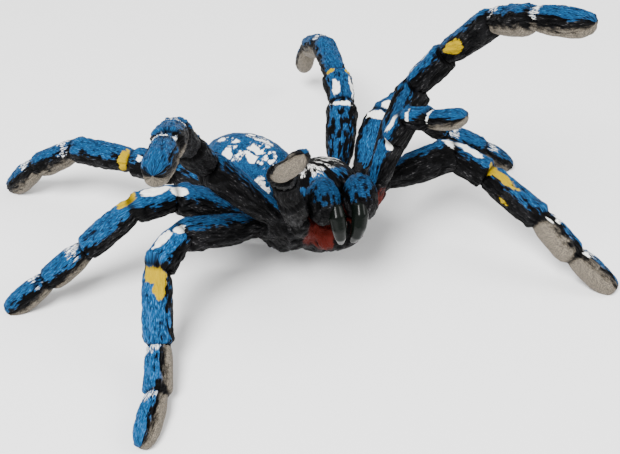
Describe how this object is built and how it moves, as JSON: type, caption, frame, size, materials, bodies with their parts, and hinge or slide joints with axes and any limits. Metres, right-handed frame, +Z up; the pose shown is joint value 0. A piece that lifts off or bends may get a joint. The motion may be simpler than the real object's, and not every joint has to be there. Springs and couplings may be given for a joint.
{
  "type": "tarantula figure",
  "caption": "Moulded, hand-painted tarantula toy in a threat pose: front legs and palps raised, the other legs spread on the floor, fangs bared.",
  "frame": {"origin": "on the floor, under the middle of the figure's bounding box", "axes": "+Z up, -Y the way the animal faces, +X to the animal's left; the feet stand on Z = 0"},
  "size_m": [0.1406, 0.1204, 0.0761],
  "materials": {
    "charcoal_plastic": "satin black paint, brushed with grey and white",
    "blue_plastic": "satin black paint, brushed with bright blue, white and yellow"
  },
  "bodies": {
    "root": {"body": "charcoal_plastic", "abdomen": "blue_plastic", "chelicera_right": "charcoal_plastic", "chelicera_left": "charcoal_plastic", "palp_right": "blue_plastic", "palp_left": "blue_plastic", "leg_1_right": "blue_plastic", "leg_1_left": "blue_plastic", "leg_2_right": "blue_plastic", "leg_2_left": "blue_plastic", "leg_3_right": "blue_plastic", "leg_3_left": "blue_plastic", "leg_4_right": "blue_plastic", "leg_4_left": "blue_plastic"}
  },
  "joints": []
}
